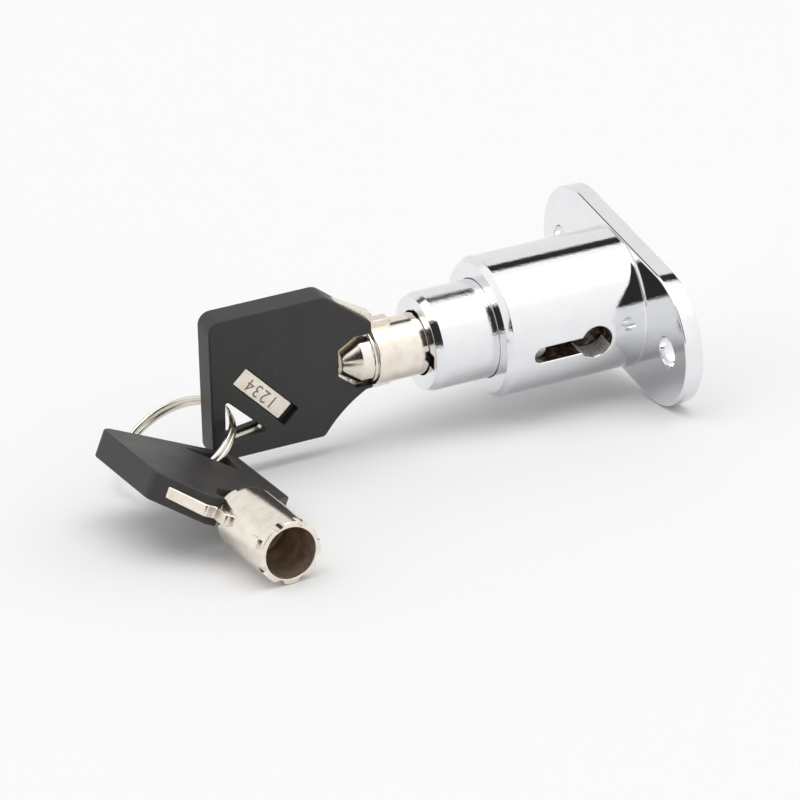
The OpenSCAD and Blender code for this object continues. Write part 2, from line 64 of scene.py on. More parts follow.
class Socket:
    def __init__(self, finish, link):
        self.finish = finish
        self.link = link

    def math(self, operation, other=None):
        return self.finish.node("ShaderNodeMath", {"operation": operation}, {0: self, 1: other})

    def __add__(self, other):
        return self.math("ADD", other)

    __radd__ = __add__

    def __mul__(self, other):
        return self.math("MULTIPLY", other)

    __rmul__ = __mul__

    def __sub__(self, other):
        return self.math("SUBTRACT", other)

    def __rsub__(self, other):
        return (self * -1.0) + other

    def step(self, low, high):
        """Rises smoothly from 0 at low to 1 at high."""
        settings = {"interpolation_type": "SMOOTHSTEP"}
        return self.finish.node("ShaderNodeMapRange", settings, {"Value": self, "From Min": low, "From Max": high})

    def band(self, low, high, soft):
        """1 between low and high, with soft edges."""
        return self.step(low - soft, low + soft) * (1 - self.step(high - soft, high + soft))


# %% [markdown]
# Every other node comes from one method of the material's own class. It makes a node's settings first and fills its
# sockets after, because some settings change which sockets a node has.
# A Math node would turn a colour grey, so colours go through a Mix node, and places through Vector Math.

# %% Nodes of a finish
# The Mix node's colour sockets share their names with others, so they go by number.
MIX_FACTOR, MIX_FIRST, MIX_SECOND, MIX_RESULT = 0, 6, 7, 2


class Finish:
    """A material or world, its node tree, and one method that adds nodes."""

    def __init__(self, owner):
        owner.use_nodes = True
        self.owner = owner
        self.tree = owner.node_tree
        self.tree.nodes.clear()

    def node(self, kind, settings=None, sockets=None, out=0):
        made = self.tree.nodes.new(kind)
        for name, value in (settings or {}).items():
            setattr(made, name, value)
        for name, value in (sockets or {}).items():
            if isinstance(value, Socket):
                self.tree.links.new(value.link, made.inputs[name])
            elif value is not None:
                made.inputs[name].default_value = value
        return Socket(self, made.outputs[out]) if len(made.outputs) else None

    def place(self):
        """Where a point lies in the object, in millimetres."""
        where = self.node("ShaderNodeTexCoord", out="Object")
        return self.node("ShaderNodeVectorMath", {"operation": "SCALE"}, {0: where, "Scale": 1 / MM})

    def stretched(self, where, factors):
        """A place scaled by its own factor along each axis, so noise runs in lines."""
        return self.node("ShaderNodeVectorMath", {"operation": "MULTIPLY"}, {0: where, 1: factors})

    def noise(self, where, scale, detail=3.0, roughness=0.55):
        sockets = {"Vector": where, "Scale": scale, "Detail": detail, "Roughness": roughness}
        return self.node("ShaderNodeTexNoise", {"noise_type": "FBM"}, sockets)

    def blend(self, amount, first, second):
        """A colour between two colours."""
        sockets = {MIX_FACTOR: amount, MIX_FIRST: first, MIX_SECOND: second}
        return self.node("ShaderNodeMix", {"data_type": "RGBA"}, sockets, out=MIX_RESULT)

    def bump(self, height, distance):
        """Grain of a height from 0 to 1, whose full depth is given in metres."""
        return self.node("ShaderNodeBump", None, {"Height": height, "Distance": distance, "Strength": 1.0})

    def surface(self, **sockets):
        """Closes the material with the main shader; an underscore stands for the space in a socket's name."""
        named = {name.replace("_", " "): value for name, value in sockets.items()}
        shader = self.node("ShaderNodeBsdfPrincipled", None, named)
        self.node("ShaderNodeOutputMaterial", None, {"Surface": shader})
        return self.owner


# %% [markdown]
# ## Finishes
# Bright chrome on die-cast zinc mirrors the room, so its only own detail is a faint ripple of the casting under the
# plating. The plunger's chrome is satin, with a coarser ripple, and the core's is smooth.
# A finish could be a picture wrapped round the piece. Noise in the piece's own millimetres is used instead: it has no
# seams, and it stays with the piece when that moves.

# %% Chrome
CHROME_TONE = (0.855, 0.862, 0.87)
HAZE_TINT = (0.95, 0.955, 0.975)


def rgb(*values):
    return (*values, 1.0)


def tinted(tone, tint):
    """A colour made darker, part by part."""
    return rgb(*[part * share for part, share in zip(tone, tint)])


def chrome_finish(name, ripple, rough_low, rough_high, stretch=(6.0, 2.0, 6.0)):
    """Chrome with a ripple of so many metres, a little rougher where a faint haze lies."""
    finish = Finish(bpy.data.materials.new(name))
    where = finish.place()
    peel = finish.noise(finish.stretched(where, stretch), 1.0)
    haze = finish.noise(where, 0.25)
    fine = finish.noise(where, 8.0, 2.0)
    height = peel * 0.75 + fine * 0.25
    rough = haze.step(0.35, 0.8) * (rough_high - rough_low) + rough_low + fine * 0.01
    colour = finish.blend(haze.step(0.3, 0.75), rgb(*CHROME_TONE), tinted(CHROME_TONE, HAZE_TINT))
    normal = finish.bump(height, ripple)
    return finish.surface(Base_Color=colour, Metallic=1.0, Roughness=rough, Normal=normal)


plated_chrome = chrome_finish("plated_chrome", 0.000012, 0.015, 0.035, (3.0, 0.9, 3.0))
satin_chrome = chrome_finish("satin_chrome", 0.00003, 0.05, 0.1, (3.0, 2.4, 3.0))
smooth_chrome = chrome_finish("smooth_chrome", 0.000003, 0.03, 0.06)
print("chrome", [finish.name for finish in (plated_chrome, satin_chrome, smooth_chrome)])

# %% [markdown]
# The keys and the ring are nickel plated, which is warmer and duller than chrome, with fine drawing lines along the
# metal and a little tarnish. The steel and brass parts inside are turned, so their lines run round them.
# Both kinds are the same recipe with the noise stretched the other way.

# %% Nickel, steel and brass
TARNISH_TINT = (0.9, 0.87, 0.82)
DIRT_TINT = (0.72, 0.72, 0.72)
ALONG_Y, ROUND_Y = (9.0, 0.5, 9.0), (0.6, 8.0, 0.6)
DRAWN_DEPTH, TURNED_DEPTH = 0.000004, 0.000006


def nickel_finish(name, tone, rough_low, rough_high):
    finish = Finish(bpy.data.materials.new(name))
    where = finish.place()
    streak = finish.noise(finish.stretched(where, ALONG_Y), 1.0)
    cloud = finish.noise(where, 0.5, 4.0)
    speck = finish.noise(where, 7.0, 2.0).step(0.62, 0.75)
    colour = finish.blend(cloud.step(0.35, 0.75), rgb(*tone), tinted(tone, TARNISH_TINT))
    rough = streak.step(0.3, 0.75) * (rough_high - rough_low) + rough_low + speck * 0.05
    normal = finish.bump(streak + speck * 0.4, DRAWN_DEPTH)
    return finish.surface(Base_Color=colour, Metallic=1.0, Roughness=rough, Normal=normal)


def turned_finish(name, tone, rough):
    finish = Finish(bpy.data.materials.new(name))
    where = finish.place()
    lines = finish.noise(finish.stretched(where, ROUND_Y), 1.2, 2.0)
    dirt = finish.noise(where, 0.7, 4.0)
    colour = finish.blend(dirt.step(0.4, 0.75), rgb(*tone), tinted(tone, DIRT_TINT))
    uneven = lines.step(0.3, 0.8) * 0.15 + rough
    normal = finish.bump(lines, TURNED_DEPTH)
    return finish.surface(Base_Color=colour, Metallic=1.0, Roughness=uneven, Normal=normal)


key_nickel = nickel_finish("key_nickel", (0.9, 0.845, 0.765), 0.1, 0.2)
plate_nickel = nickel_finish("plate_nickel", (0.86, 0.8, 0.71), 0.2, 0.32)
ring_nickel = nickel_finish("ring_nickel", (0.82, 0.78, 0.71), 0.1, 0.2)
turned_steel = turned_finish("turned_steel", (0.56, 0.57, 0.59), 0.22)
pin_steel = turned_finish("pin_steel", (0.86, 0.85, 0.83), 0.3)
turned_brass = turned_finish("turned_brass", (0.72, 0.56, 0.28), 0.2)
print("nickel", [metal.name for metal in (key_nickel, plate_nickel, ring_nickel)])
print("turned", [metal.name for metal in (turned_steel, pin_steel, turned_brass)])

# %% [markdown]
# The bow is a dark moulding. Its faces come out of a spark-eroded mould, so they are finely grained and nearly matte.
# Worn places are a little smoother. A few pale specks of dust sit on it, as a mask cut high out of coarse noise.

# %% Black plastic
PLASTIC_DARK, PLASTIC_WORN, DUST = (0.0195, 0.0183, 0.0177), (0.028, 0.0262, 0.0252), (0.16, 0.155, 0.15)
GRAIN_DEPTH = 0.000012
PLASTIC_IOR = 1.5


def moulded_finish(name):
    finish = Finish(bpy.data.materials.new(name))
    where = finish.place()
    grain = finish.noise(where, 6.5, 3.0, 0.6)
    cloud = finish.noise(where, 0.16)
    dust = finish.noise(where, 3.2, 1.0).step(0.735, 0.76)
    colour = finish.blend(cloud.step(0.3, 0.7), rgb(*PLASTIC_DARK), rgb(*PLASTIC_WORN))
    dusty = finish.blend(dust * 0.5, colour, rgb(*DUST))
    rough = cloud.step(0.3, 0.75) * 0.1 + 0.42 + grain * 0.06
    normal = finish.bump(grain, GRAIN_DEPTH)
    return finish.surface(Base_Color=dusty, Roughness=rough, Normal=normal, IOR=PLASTIC_IOR)


bow_plastic = moulded_finish("bow_plastic")
print("plastic", bow_plastic.name)

# %% [markdown]
# Where parts slide, there is no bright chrome to see: the bore is brown with old grease, and the key's bore is
# dirty. The slot's walls get the same dark brown as painted shade of the narrow slot, and the round hole's lower
# wall, which faces up into the light, is painted pale as painted light. The number's strokes are etched dull.
# Each could be painted by hand. Here each is two colours smeared into each other by noise, with a thin film on the
# dark brown walls, and later the faces get it by where they lie.

# %% Grease, painted shade and painted light, dirt and etching


def smeared_finish(name, scale, spread, first, second, metallic, rough, film=0.0):
    finish = Finish(bpy.data.materials.new(name))
    smear = finish.noise(finish.place(), scale)
    colour = finish.blend(smear.step(*spread), rgb(*first), rgb(*second))
    sockets = {"Base_Color": colour, "Metallic": metallic, "Roughness": rough}
    if film:
        sockets["Normal"] = finish.bump(smear, film)
    return finish.surface(**sockets)


etched_mark = smeared_finish("etched_mark", 3.0, (0.35, 0.7), (0.23, 0.18, 0.14), (0.36, 0.3, 0.25), 0.6, 0.55)
dirty_bore = smeared_finish("dirty_bore", 0.45, (0.35, 0.75), (0.36, 0.28, 0.22), (0.62, 0.5, 0.4), 0.6, 0.42)
# Dark brown grease. On the slot's walls the same dark brown is painted shade of the narrow slot.
grease_and_shade_zinc = smeared_finish(
    "grease_and_shade_zinc", 1.3, (0.45, 0.75), (0.05, 0.038, 0.028), (0.34, 0.27, 0.21), 0.5, 0.3, film=0.00003
)
# Pale, dull metal for the round hole's lower wall, which faces up into the light: painted light.
painted_light_wall = smeared_finish("painted_light_slot_wall", 1.6, (0.45, 0.75), (0.84, 0.83, 0.81), (0.45, 0.4, 0.35), 0.35, 0.4)
print("finishes so far", len(bpy.data.materials))

# %% [markdown]
# ## Mesh tools
# Turned and cast parts have no sharp corner anywhere, and every soft edge draws a bright line in chrome. A bevel
# modifier could round them, but it fails where small edges meet, so each outline is drawn with its corners rounded.

# %% Outlines
ROUND = 192
NEARLY_STRAIGHT = math.pi / 2 - 0.01


def corner(before, here, after, radius, steps):
    """Points that round one corner of an outline."""
    a, p, b = Vector(before), Vector(here), Vector(after)
    if radius <= 0:
        return [p.copy()]
    u, v = (a - p).normalized(), (b - p).normalized()
    half = math.acos(max(-1.0, min(1.0, u.dot(v)))) / 2
    if half > NEARLY_STRAIGHT:
        return [p.copy()]
    centre = p + (u + v).normalized() * radius / math.sin(half)
    start = p + u * radius / math.tan(half) - centre
    end = p + v * radius / math.tan(half) - centre
    first = math.atan2(start.y, start.x)
    sweep = (math.atan2(end.y, end.x) - first + math.pi) % (2 * math.pi) - math.pi
    turns = [first + sweep * k / steps for k in range(steps + 1)]
    return [centre + radius * Vector((math.cos(t), math.sin(t))) for t in turns]


def rounded(points, steps=5, closed=True):
    """An outline from [x, y, radius] entries."""
    out = []
    count = len(points)
    for i, (x, y, radius) in enumerate(points):
        if not closed and i in (0, count - 1):
            out.append(Vector((x, y)))
            continue
        a, b = points[i - 1], points[(i + 1) % count]
        out += corner(a[:2], (x, y), b[:2], radius, steps)
    return out


def inside(point, outline):
    found = False
    for i in range(len(outline)):
        a, b = outline[i - 1], outline[i]
        if (a[1] > point[1]) != (b[1] > point[1]):
            if point[0] < (b[0] - a[0]) * (point[1] - a[1]) / (b[1] - a[1]) + a[0]:
                found = not found
    return found


def circle(radius, count=ROUND, x=0.0):
    turns = [2 * math.pi * i / count for i in range(count)]
    return [Vector((x + radius * math.cos(t), radius * math.sin(t))) for t in turns]


def grown(outline, amounts):
    """Each point moved outward across the outline by its amount."""
    count = len(outline)
    area = sum(outline[i - 1].x * outline[i].y - outline[i].x * outline[i - 1].y for i in range(count))
    side = 1 if area > 0 else -1
    out = []
    for i, p in enumerate(outline):
        along = (outline[(i + 1) % count] - outline[i - 1]).normalized()
        amount = amounts[i] if isinstance(amounts, list) else amounts
        out.append(p + Vector((along.y, -along.x)) * side * amount)
    return out


def quarter(steps):
    """A soft edge's quarter circle, as shares of its radius: how far out, and how far from the face."""
    turns = [math.pi / 2 * k / steps for k in range(steps + 1)]
    return [(1 - math.sin(t), 1 - math.cos(t)) for t in turns]


print("points in a full circle", ROUND)

# %% [markdown]
# Every visible piece is made of loops of points, in millimetres, joined by strips of faces, as a lofted skin.
# A flat face with holes is filled by triangulating its outline. The finished mesh is welded and scaled to metres.

# %% Loops, strips and fills
WELD = 0.0006
MERGE_GAP = 1e-7


class Shape:
    def __init__(self):
        self.points = []
        self.faces = []

    def loop(self, points):
        first = len(self.points)
        self.points += [Vector(p) for p in points]
        return list(range(first, len(self.points)))

    def strip(self, a, b, keep=None):
        count = len(a)
        for i in range(count):
            j = (i + 1) % count
            if keep is None or keep(i, j):
                self.faces.append((a[i], a[j], b[j], b[i]))

    def strips(self, loops):
        for a, b in zip(loops, loops[1:]):
            self.strip(a, b)

    def fill(self, outer, holes, place, extra=()):
        """A triangulated face inside outer and outside holes; place turns its flat points into space."""
        flat, edges = [], []
        for line in [outer, *holes]:
            first = len(flat)
            flat += [Vector(p[:2]) for p in line]
            edges += [(first + i, first + (i + 1) % len(line)) for i in range(len(line))]
        flat += [Vector(p) for p in extra]
        points, _, faces, _, _, _ = delaunay_2d_cdt(flat, edges, [], 0, MERGE_GAP)
        index = self.loop([place(p) for p in points])
        for face in faces:
            middle = sum((points[i] for i in face), Vector((0, 0))) / len(face)
            if inside(middle, outer) and not any(inside(middle, hole) for hole in holes):
                self.faces.append(tuple(index[i] for i in face))

    def turn(self, profile, count=ROUND, clamp=None):
        """Loops round the Y axis for profile points [radius, y]."""
        loops = []
        for radius, y in profile:
            ring = [Vector((p.x, y, p.y)) for p in circle(radius, count)]
            loops.append(self.loop([clamp(p) for p in ring] if clamp else ring))
        return loops

    def mesh(self, name):
        made = bpy.data.meshes.new(name)
        made.from_pydata([p * MM for p in self.points], [], self.faces)
        work = bmesh.new()
        work.from_mesh(made)
        bmesh.ops.remove_doubles(work, verts=work.verts, dist=WELD * MM)
        bmesh.ops.dissolve_degenerate(work, edges=work.edges, dist=WELD * MM * 0.2)
        bmesh.ops.recalc_face_normals(work, faces=work.faces)
        work.to_mesh(made)
        work.free()
        made.shade_smooth()
        return made


# %% [markdown]
# A finished mesh becomes an object that rides on one body of the lock and stands in for its CAD solids.
# Its edges could be left to smooth shading, but that bends the light on the large faces too. Weighted normals keep
# those flat in their shading, and leave the bend to the small edge faces between them.

# %% Show a piece
FACE_WEIGHT = 80


def show(name, mesh, material, body, nodes=(), matrix=None, sharp=40.0, weighted=True):
    """Puts a mesh in the scene, with its material, its body and the CAD nodes that it stands for."""
    made = bpy.data.objects.new(name, mesh)
    bpy.context.scene.collection.objects.link(made)
    if not mesh.materials:
        mesh.materials.append(material)
    if matrix is not None:
        made.matrix_world = matrix
    mesh.set_sharp_from_angle(angle=math.radians(sharp))
    if weighted:
        crease = made.modifiers.new("weighted", "WEIGHTED_NORMAL")
        crease.keep_sharp = True
        crease.weight = FACE_WEIGHT
    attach(made, body)
    if nodes:
        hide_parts(*nodes)
    return made


# %% [markdown]
# ## Housing
# On the real lock the barrel and flange are one zinc casting, buffed and chromed, with softened edges. A keyhole slot
# runs through the barrel's side: a round hole with a narrow tail, and a small rounding on its rim that catches light.
# The slot could be cut out by a boolean. In chrome that leaves dents round the rim, so the wall is laid out flat,
# filled round the slot's outline, and wrapped back onto the cylinder.

# %% Housing: the slot's outline
BORE_R, BARREL_R = 7.78, 11.0
SLOT_R, SLOT_Y = 1.3, -17.6  # the narrow tail and its far end
DROP_R, DROP_Y = 2.65, -8.5  # the round hole
RIM = 0.28  # the rounding of the slot's rim


def keyhole(grow=0.0, arc=56, line=34, nose=20):
    """The keyhole slot's outline as (z, y), grown by an amount; the count of points never changes."""
    narrow, wide = SLOT_R + grow, DROP_R + grow
    open_angle = math.asin(narrow / wide)
    points = []
    for k in range(arc + 1):
        t = -math.pi / 2 + open_angle + (2 * math.pi - 2 * open_angle) * k / arc
        points.append(Vector((wide * math.cos(t), DROP_Y + wide * math.sin(t))))
    top_y = DROP_Y - wide * math.cos(open_angle)
    for k in range(1, line):
        points.append(Vector((-narrow, top_y + (SLOT_Y - top_y) * k / line)))
    for k in range(nose + 1):
        t = math.pi + math.pi * k / nose
        points.append(Vector((narrow * math.cos(t), SLOT_Y + narrow * math.sin(t))))
    for k in range(1, line):
        points.append(Vector((narrow, SLOT_Y + (top_y - SLOT_Y) * k / line)))
    return points


print("points in the slot's outline", len(keyhole()))

# %% Housing: a wall with a slot
WINDOW = math.radians(26)  # half the angle of the part of the wall that is filled round the slot
GRID_ROWS = 18
GRID_GAP = 0.14  # how near the outline the fill's own points may come


def on_barrel(point, radius):
    """A flat point (arc length, y) wrapped onto a cylinder round Y."""
    t = point.x / radius
    return Vector((radius * math.cos(t), point.y, radius * math.sin(t)))


def unrolled(outline, radius):
    return [Vector((radius * math.asin(p.x / radius), p.y)) for p in outline]


def slotted_wall(shape, loop_a, loop_b, radius, y_a, y_b, outline):
    """The cylinder between two loops, with the slot's outline left out."""
    turns = [2 * math.pi * i / ROUND for i in range(ROUND)]
    turns = [t - 2 * math.pi if t > math.pi else t for t in turns]
    shape.strip(loop_a, loop_b, lambda i, j: not (abs(turns[i]) <= WINDOW and abs(turns[j]) <= WINDOW))
    inner = sorted(t for t in turns if abs(t) <= WINDOW)
    edge = [Vector((radius * t, y_a)) for t in inner] + [Vector((radius * t, y_b)) for t in reversed(inner)]
    hole = unrolled(outline, radius)
    guard = grown(hole, GRID_GAP)
    grid = []
    for t in inner[1:-1]:
        for row in range(1, GRID_ROWS):
            p = Vector((radius * t, y_a + (y_b - y_a) * row / GRID_ROWS))
            if not inside(p, guard):
                grid.append(p)
    shape.fill(edge, [hole], lambda p: on_barrel(p, radius), grid)


# %% [markdown]
# The skin is turned round the barrel's axis, from the bore at the back, out of the mouth, and along the barrel to the
# small fillet at the flange. The flange is as wide as the barrel, so the fillet is drawn in where it would stand out.

# %% Housing: barrel
MOUTH_Y = -23.3
FLANGE_T = 3.0
BACK_R = 8.0  # the bore's chamfer at the flange's back
ROOT = 0.35  # the fillet between barrel and flange
ROOT_SINK = 0.4  # how far the fillet is drawn in at the flange's straight sides
LONG_WALL = 15


def housing_clamp(p):
    """Keeps the root fillet inside the flange's straight sides."""
    if -ROOT < p.y < 0.01:
        limit = BARREL_R - ROOT_SINK * ((p.y + ROOT) / ROOT) ** 2
        p.z = max(-limit, min(limit, p.z))
    return p


housing = Shape()
profile = rounded(
    [
        (BACK_R, FLANGE_T, 0),
        (BORE_R, FLANGE_T - 0.25, 0.12),
        (BORE_R, MOUTH_Y, 0.14),
        (BARREL_R - 0.8, MOUTH_Y, 0.1),
        (BARREL_R, MOUTH_Y + 0.95, 0.12),
        (BARREL_R, 0.0, ROOT),
        (BARREL_R + ROOT + 0.02, 0.0, 0),
    ],
    steps=6,
    closed=False,
)
wall_loops = housing.turn(profile, clamp=housing_clamp)
for place, (low, high) in enumerate(zip(profile, profile[1:])):
    pair = (wall_loops[place], wall_loops[place + 1])
    if abs(low.y - high.y) > LONG_WALL:
        on_bore = low.x < (BORE_R + BARREL_R) / 2
        slotted_wall(housing, *pair, low.x, low.y, high.y, keyhole(0.0 if on_bore else RIM))
    else:
        housing.strip(*pair)

EDGE_STEPS = 5
rim_loops = []
for out, deep in quarter(EDGE_STEPS):
    ring = keyhole(RIM * out)
    depth = RIM * deep
    rim_loops.append(housing.loop([(math.sqrt(BARREL_R**2 - p.x**2) - depth, p.y, p.x) for p in ring]))
rim_loops.append(housing.loop([(math.sqrt(BORE_R**2 - p.x**2), p.y, p.x) for p in keyhole()]))
housing.strips(rim_loops)
print("barrel faces", len(housing.faces))

# %% Housing: flange
FLANGE_R, END_X = 11.0, 12.6  # the flange's round ends and their centres
SCREW_R, SCREW_X = 2.35, 17.5
SCREW_LIP = 0.3
FLANGE_EDGE = 0.32


def stadium(inset, count=72):
    """The flange's outline, drawn in by an amount."""
    radius = FLANGE_R - inset
    points = []
    for side, first in ((1, -math.pi / 2), (-1, math.pi / 2)):
        for k in range(count + 1):
            t = first + math.pi * k / count
            points.append(Vector((side * END_X + radius * math.cos(t), radius * math.sin(t))))
    return points


edge_steps = [(FLANGE_EDGE * out, FLANGE_EDGE * deep) for out, deep in quarter(EDGE_STEPS)]
edge_steps += [(inset, FLANGE_T - y) for inset, y in reversed(edge_steps)]
housing.strips([housing.loop([(p.x, y, p.y) for p in stadium(inset)]) for inset, y in edge_steps])

mouth_r = SCREW_R + SCREW_LIP
screw_profile = rounded(
    [(mouth_r, 0, 0), (SCREW_R, 0, 0.2), (SCREW_R, FLANGE_T, 0.2), (mouth_r, FLANGE_T, 0)], closed=False
)
screws = []
for x in (-SCREW_X, SCREW_X):
    housing.strips([housing.loop([(p.x, y, p.y) for p in circle(r, 64, x)]) for r, y in screw_profile])
    screws.append(circle(mouth_r, 64, x))
end_hole = [Vector((housing.points[i].x, housing.points[i].z)) for i in wall_loops[-1]]
housing.fill(stadium(FLANGE_EDGE), [*screws, end_hole], lambda p: Vector((p.x, 0, p.y)))
housing.fill(stadium(FLANGE_EDGE), [*screws, circle(BACK_R)], lambda p: Vector((p.x, FLANGE_T, p.y)))
housing_mesh = housing.mesh("housing_skin")
print("housing faces before the stop pin's hole", len(housing_mesh.polygons))

# %% [markdown]
# A steel stop pin is pressed into a small hole in the barrel's underside, near the flange. A boolean is good enough
# here, as the hole is small and seldom seen: a helper lends the mesh to an object, subtracts a rod, and takes the
# result back.

# %% Housing: the stop pin's hole


def carve(mesh, cutters):
    """Takes solid cutters out of a mesh, exactly."""
    work = bpy.data.objects.new("work", mesh)
    bpy.context.scene.collection.objects.link(work)
    for cutter in cutters:
        tool = bpy.data.objects.new("tool", cutter)
        bpy.context.scene.collection.objects.link(tool)
        cut = work.modifiers.new("cut", "BOOLEAN")
        cut.operation = "DIFFERENCE"
        cut.solver = "EXACT"
        cut.object = tool
        bpy.context.view_layer.update()
        result = bpy.data.meshes.new_from_object(work.evaluated_get(bpy.context.evaluated_depsgraph_get()))
        work.modifiers.clear()
        work.data = result
        bpy.data.objects.remove(tool)
    out = work.data
    bpy.data.objects.remove(work)
    out.shade_smooth()
    return out


def rod_mesh(start, axis, length, radius, count=48):
    """A cylinder from start along axis, used as a cutter."""
    shape = Shape()
    turn = Vector(axis).to_track_quat("Z", "Y")
    ring = circle(radius, count)
    ends = [shape.loop([Vector(start) + turn @ Vector((p.x, p.y, z)) for p in ring]) for z in (0, length)]
    shape.strip(*ends)
    shape.faces += [tuple(ends[0]), tuple(ends[1])]
    return shape.mesh("cutter")


stop_hole = rod_mesh((0, -2.5, -12), (0, 0, 1), 5, 1.26)
housing_mesh = carve(housing_mesh, [stop_hole])
print("housing faces with it", len(housing_mesh.polygons))

# %% [markdown]
# The bore is greased. The slot's walls get the same dark brown as painted shade of the narrow slot, and the round
# hole's lower wall, which faces up into the light, is painted pale as painted light.
# A face takes its finish from where its middle lies, so no picture is needed to say where the chrome ends.

# %% Housing: chrome, grease, and painted shade and light in the slot
# In the bore's range this finish is grease. In the slot's range the same dark brown is painted shade.
BORE_GREASE_Y, SLOT_SHADE_Y = (-23.1, 2.7), (-20, -5)
SLOT_DEPTH_R, SLOT_HALF = 10.7, 2.8  # the slot's walls lie nearer the axis than its rim
# Past this y and below this height lies the round hole's lower wall, which faces up into the light: painted pale.
LIT_WALL_Y, LIT_WALL_Z = -11.2, -0.9
CHROMED, GREASE_AND_SHADE, PAINTED_LIGHT = range(3)

housing_mesh.materials.clear()
for finish in (plated_chrome, grease_and_shade_zinc, painted_light_wall):
    housing_mesh.materials.append(finish)
for face in housing_mesh.polygons:
    middle = face.center / MM
    away = math.hypot(middle.x, middle.z)
    in_bore = away < BORE_R + 0.01 and BORE_GREASE_Y[0] < middle.y < BORE_GREASE_Y[1]
    in_slot = away < SLOT_DEPTH_R and SLOT_SHADE_Y[0] < middle.y < SLOT_SHADE_Y[1]
    in_slot = in_slot and middle.x > 0 and abs(middle.z) < SLOT_HALF
    if in_bore:
        face.material_index = GREASE_AND_SHADE
    # Slot walls: dark brown as painted shade, and pale painted light on the round hole's lower wall that faces up.
    elif in_slot:
        face.material_index = PAINTED_LIGHT if middle.y > LIT_WALL_Y and middle.z < LIT_WALL_Z else GREASE_AND_SHADE
    else:
        face.material_index = CHROMED
show("housing_skin", housing_mesh, plated_chrome, "housing", ["housing"])
print("housing faces", len(housing_mesh.polygons))

# %% [markdown]
# ## Plunger
# The plunger is a chromed shell. Its front has the round key opening with a notch for the key's lug, and a long
# chamfer. It could be a cylinder with modifiers, but then the chamfer's soft ends would be hard to place, so it is
# turned as one closed profile.

# %% Plunger: turned shell
PLUNGER_R, FRONT_Y, REAR_Y = 7.7, -33.7, -4.0
KEY_HOLE_R, LIP_Y = 5.05, -31.5  # the key opening and the inner face of its lip
POCKET_R = 6.15
GREASE_LINE_Y = -21.5

plunger = Shape()
plunger_profile = rounded(
    [
        (KEY_HOLE_R, FRONT_Y, 0.1),
        (PLUNGER_R - 0.5, FRONT_Y, 0.12),
        (PLUNGER_R, FRONT_Y + 1.2, 0.3),
        (PLUNGER_R, GREASE_LINE_Y, 0),
        (PLUNGER_R, REAR_Y - 1, 0.2),
        (PLUNGER_R - 0.5, REAR_Y, 0.1),
        (POCKET_R, REAR_Y, 0.1),
        (POCKET_R, LIP_Y, 0),
        (KEY_HOLE_R, LIP_Y, 0.05),
    ]
)
plunger_loops = plunger.turn(plunger_profile)
plunger.strips([*plunger_loops, plunger_loops[0]])
plunger_mesh = plunger.mesh("plunger_skin")
print("turned shell", len(plunger_mesh.polygons), "faces")

# %% [markdown]
# The shell is then machined: two notches in the lip let the key's lug in and out, a flat and a bore take the locking
# pin, a channel along the side takes the return spring, and a cross hole takes the bolt's pin.
# These are straight cuts with sharp edges, as a milling cutter leaves, so booleans suit them.

# %% Plunger: cutters


def bar_mesh(low, high):
    """A plain block, used as a cutter."""
    shape = Shape()
    (x0, y0, z0), (x1, y1, z1) = low, high
    bottom = shape.loop([(x0, y0, z0), (x1, y0, z0), (x1, y1, z0), (x0, y1, z0)])
    top = shape.loop([(x0, y0, z1), (x1, y0, z1), (x1, y1, z1), (x0, y1, z1)])
    shape.strip(bottom, top)
    shape.faces += [tuple(bottom), tuple(top)]
    return shape.mesh("cutter")


def turned_bar(angle, low, high):
    made = bar_mesh(low, high)
    made.transform(Matrix.Rotation(-angle, 4, "Y"))
    return made


PIN_Y, PIN_BORE_R, FLAT_X = -17.6, 2.5, 7.236
SPRING_Z, CHANNEL_R, CHANNEL_Y = -5.9, 1.65, -17.3
LUG_TURN = math.radians(96)
notch_y, lip_end = FRONT_Y - 1, LIP_Y + 0.01
notch_in = turned_bar(0.0, (0, notch_y, -1.2), (6.4, lip_end, 1.2))
notch_out = turned_bar(LUG_TURN, (0, notch_y, -0.95), (5.35, lip_end, 0.95))
side_flat = bar_mesh((FLAT_X, PIN_Y - 2.65, -8), (9, 0, 8))
pin_bore = rod_mesh((0, PIN_Y, 0), (1, 0, 0), 9, PIN_BORE_R)
spring_bore = rod_mesh((0, CHANNEL_Y, SPRING_Z), (0, 1, 0), 20, CHANNEL_R)
spring_channel = bar_mesh((-CHANNEL_R, CHANNEL_Y, -9), (CHANNEL_R, 0, SPRING_Z))
cross_hole = rod_mesh((-6.3, REAR_Y - 6.5, -6.3), (1, 0, 1), 18, 1.0)
cutters = [notch_in, notch_out, side_flat, pin_bore, spring_bore, spring_channel, cross_hole]
plunger_mesh = carve(plunger_mesh, cutters)
print("cuts in the plunger", len(cutters))

# %% [markdown]
# What slides in the barrel is greased, and what stands out of it at rest is clean. The faces were split at that line
# when the shell was turned, so the grease ends in a clean ring.

# %% Plunger: chrome and grease
GREASY_Y, GREASY_R = -21.4, 6.9

plunger_mesh.materials.clear()
plunger_mesh.materials.append(satin_chrome)
plunger_mesh.materials.append(grease_and_shade_zinc)
for face in plunger_mesh.polygons:
    if face.center.y > GREASY_Y * MM and math.hypot(face.center.x, face.center.z) > GREASY_R * MM:
        face.material_index = GREASE_AND_SHADE
show("plunger_skin", plunger_mesh, satin_chrome, "plunger", ["plunger"])
print("plunger faces", len(plunger_mesh.polygons))

# %% [markdown]
# ## Keys
# A tubular key has a hollow tube with cuts round its tip, a pressed plate with two ridges, and a moulded bow.
# Both keys are alike. One could be copied by hand, but meshes that are shared stay alike by themselves, so each piece
# is made once, in the key's own frame, and shown twice.
# In that frame the tip's centre is at the origin, the bow lies toward -Y and the number faces +X.

